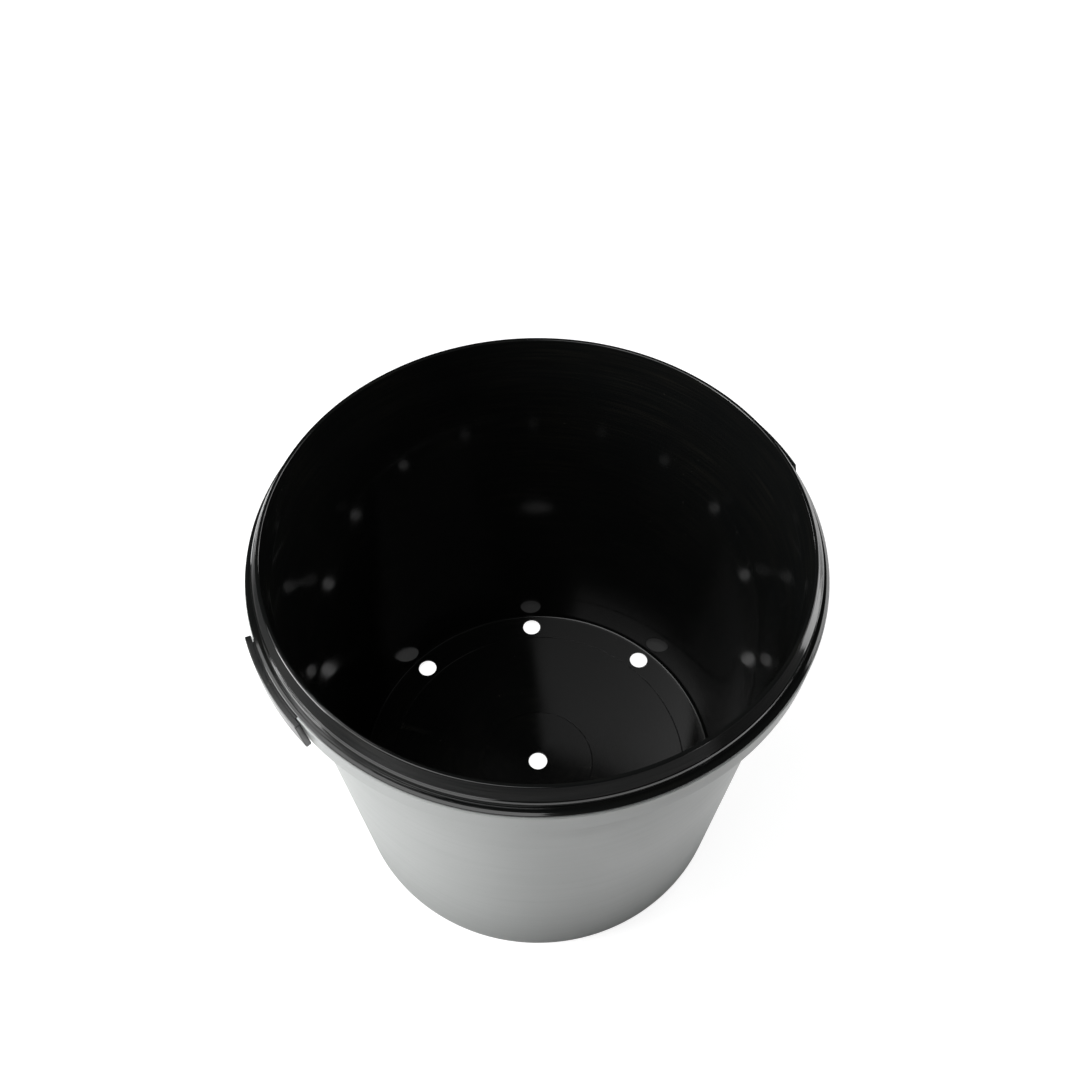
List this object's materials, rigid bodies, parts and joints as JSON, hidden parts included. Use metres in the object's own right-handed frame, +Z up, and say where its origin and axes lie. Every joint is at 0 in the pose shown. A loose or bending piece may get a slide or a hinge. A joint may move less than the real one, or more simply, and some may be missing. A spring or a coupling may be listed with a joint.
{
  "type": "hydroponic pot",
  "caption": "Round tapered hydroponic pot: a glossy inner pot with drain holes, hung by its collar in a satin outer shell, with two side grips.",
  "frame": {"origin": "on the ground under the middle of the pot", "axes": "+Z up along the pot's axis, +X through the middle of the right grip"},
  "size_m": [0.3272, 0.32, 0.2904],
  "materials": {
    "grey_shell": "satin moulded plastic",
    "black_pot": "glossy moulded plastic",
    "black_grip": "semi-gloss moulded plastic"
  },
  "bodies": {
    "shell": {"outer_shell": "grey_shell"},
    "pot": {"inner_pot": "black_pot", "grip_left": "black_grip", "grip_right": "black_grip"}
  },
  "joints": [
    {"name": "inner_pot_lift", "type": "slide", "parent": "shell", "child": "pot", "axis": [0, 0, 1], "range_m": [0, 0.29]}
  ]
}
